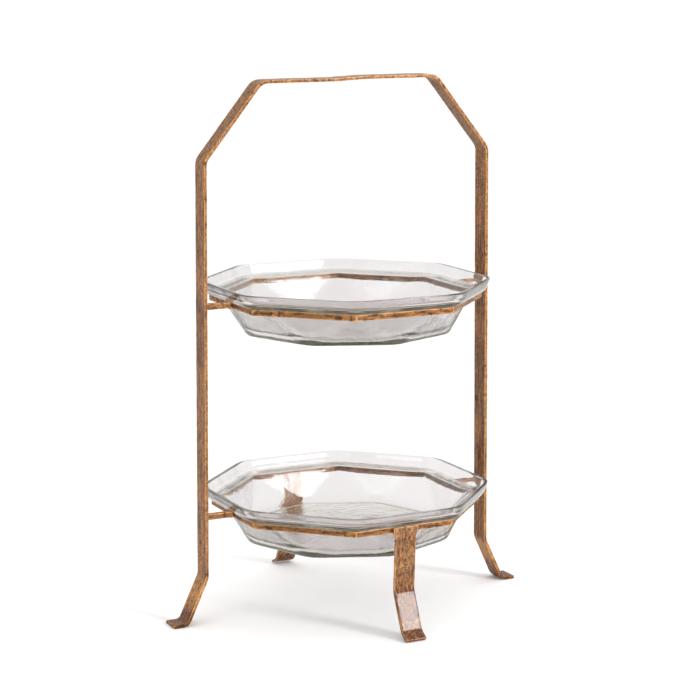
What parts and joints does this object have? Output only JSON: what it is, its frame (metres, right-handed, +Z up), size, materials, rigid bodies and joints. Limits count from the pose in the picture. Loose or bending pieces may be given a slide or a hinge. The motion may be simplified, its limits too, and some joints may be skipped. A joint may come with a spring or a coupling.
{
  "type": "tiered cake stand",
  "caption": "Hoop-framed tiered serving stand of hand-rubbed bronze-coloured strap iron, with octagonal square-bar rings that carry lift-out clear glass bowls one above the other.",
  "frame": {"origin": "on the ground, in the middle of the stand's footprint, under the middle of the hoop and of both rings", "axes": "+Z up; +X towards the right upright as the stand faces the front; -Y towards the front leg"},
  "size_m": [0.4078, 0.3273, 0.5615],
  "materials": {
    "strap_iron": "iron strap with a hand-rubbed antique bronze finish, brighter along worn edges",
    "square_bar": "square iron bar with a hand-rubbed antique gold-bronze finish and dark pits",
    "bowl_glass": "thick clear pressed glass with a softly hammered surface"
  },
  "bodies": {
    "frame": {"hoop_left_half": "strap_iron", "hoop_right_half": "strap_iron", "front_leg": "strap_iron", "back_leg": "strap_iron", "lower_ring_bar_1": "square_bar", "lower_ring_bar_2": "square_bar", "lower_ring_bar_3": "square_bar", "lower_ring_bar_4": "square_bar", "lower_ring_bar_5": "square_bar", "lower_ring_bar_6": "square_bar", "lower_ring_bar_7": "square_bar", "lower_ring_bar_8": "square_bar", "upper_ring_bar_1": "square_bar", "upper_ring_bar_2": "square_bar", "upper_ring_bar_3": "square_bar", "upper_ring_bar_4": "square_bar", "upper_ring_bar_5": "square_bar", "upper_ring_bar_6": "square_bar", "upper_ring_bar_7": "square_bar", "upper_ring_bar_8": "square_bar", "lower_right_stub": "square_bar", "lower_left_stub": "square_bar", "upper_right_stub": "square_bar", "upper_left_stub": "square_bar"},
    "upper_bowl": {"upper_bowl": "bowl_glass"},
    "lower_bowl": {"lower_bowl": "bowl_glass"}
  },
  "joints": [
    {"name": "upper_bowl_lift", "type": "slide", "parent": "frame", "child": "upper_bowl", "axis": [0, 0, 1], "range_m": [0, 0.14]},
    {"name": "lower_bowl_lift", "type": "slide", "parent": "frame", "child": "lower_bowl", "axis": [0, 0, 1], "range_m": [0, 0.16]}
  ]
}
